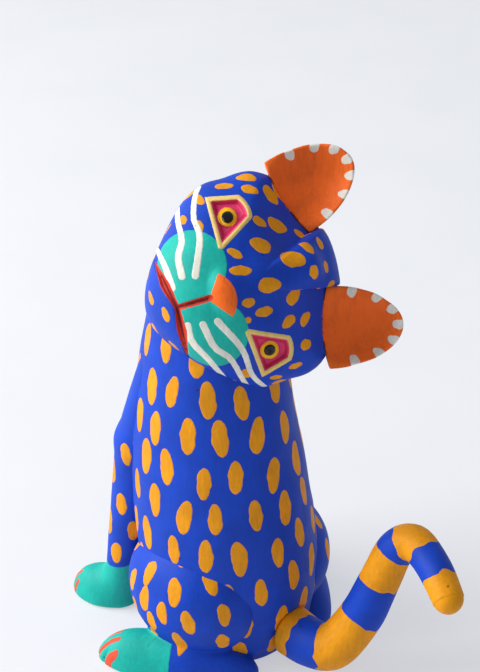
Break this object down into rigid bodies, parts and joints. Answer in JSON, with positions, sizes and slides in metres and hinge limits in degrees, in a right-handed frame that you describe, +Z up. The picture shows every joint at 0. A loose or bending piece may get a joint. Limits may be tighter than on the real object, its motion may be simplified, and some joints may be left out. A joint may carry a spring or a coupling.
{
  "type": "carved cat figure",
  "caption": "Seated carved and painted wooden cat with its head thrown back, plug-in ears and a striped plug-in tail on a dowel.",
  "frame": {"origin": "middle of the flat seat, on the surface that the figure stands on", "axes": "the torso faces -Y, its left side is +X, and +Z is up"},
  "size_m": [0.0784, 0.1187, 0.1419],
  "materials": {
    "blue_paint": "matte cobalt blue acrylic paint on carved wood",
    "ochre_paint": "matte ochre yellow acrylic paint on carved wood",
    "orange_paint": "matte orange acrylic paint on carved wood",
    "bare_wood": "bare sanded softwood dowel"
  },
  "bodies": {
    "figure": {"torso": "blue_paint", "head": "blue_paint", "neck_peg": "bare_wood", "left_foreleg": "blue_paint", "right_foreleg": "blue_paint", "left_shoulder_peg": "bare_wood", "right_shoulder_peg": "bare_wood", "left_hind_leg": "blue_paint", "right_hind_leg": "blue_paint", "left_hip_peg": "bare_wood", "right_hip_peg": "bare_wood"},
    "left_ear": {"left_ear": "orange_paint"},
    "right_ear": {"right_ear": "orange_paint"},
    "tail_peg": {"tail_peg": "bare_wood"},
    "tail": {"tail": "ochre_paint"}
  },
  "joints": [
    {"name": "tail_turn", "type": "hinge", "parent": "figure", "child": "tail_peg", "pos_m": [0, 0.0215, 0.0095], "axis": [0, 1, 0], "range_deg": [-50, 60]},
    {"name": "tail_pull", "type": "slide", "parent": "tail_peg", "child": "tail", "axis": [0, 1, 0], "range_m": [0, 0.03]},
    {"name": "left_ear_pull", "type": "slide", "parent": "figure", "child": "left_ear", "axis": [-0.7355, 0.6768, 0.0314], "range_m": [0, 0.02]},
    {"name": "right_ear_pull", "type": "slide", "parent": "figure", "child": "right_ear", "axis": [-0.7751, 0.4153, 0.4763], "range_m": [0, 0.02]}
  ]
}
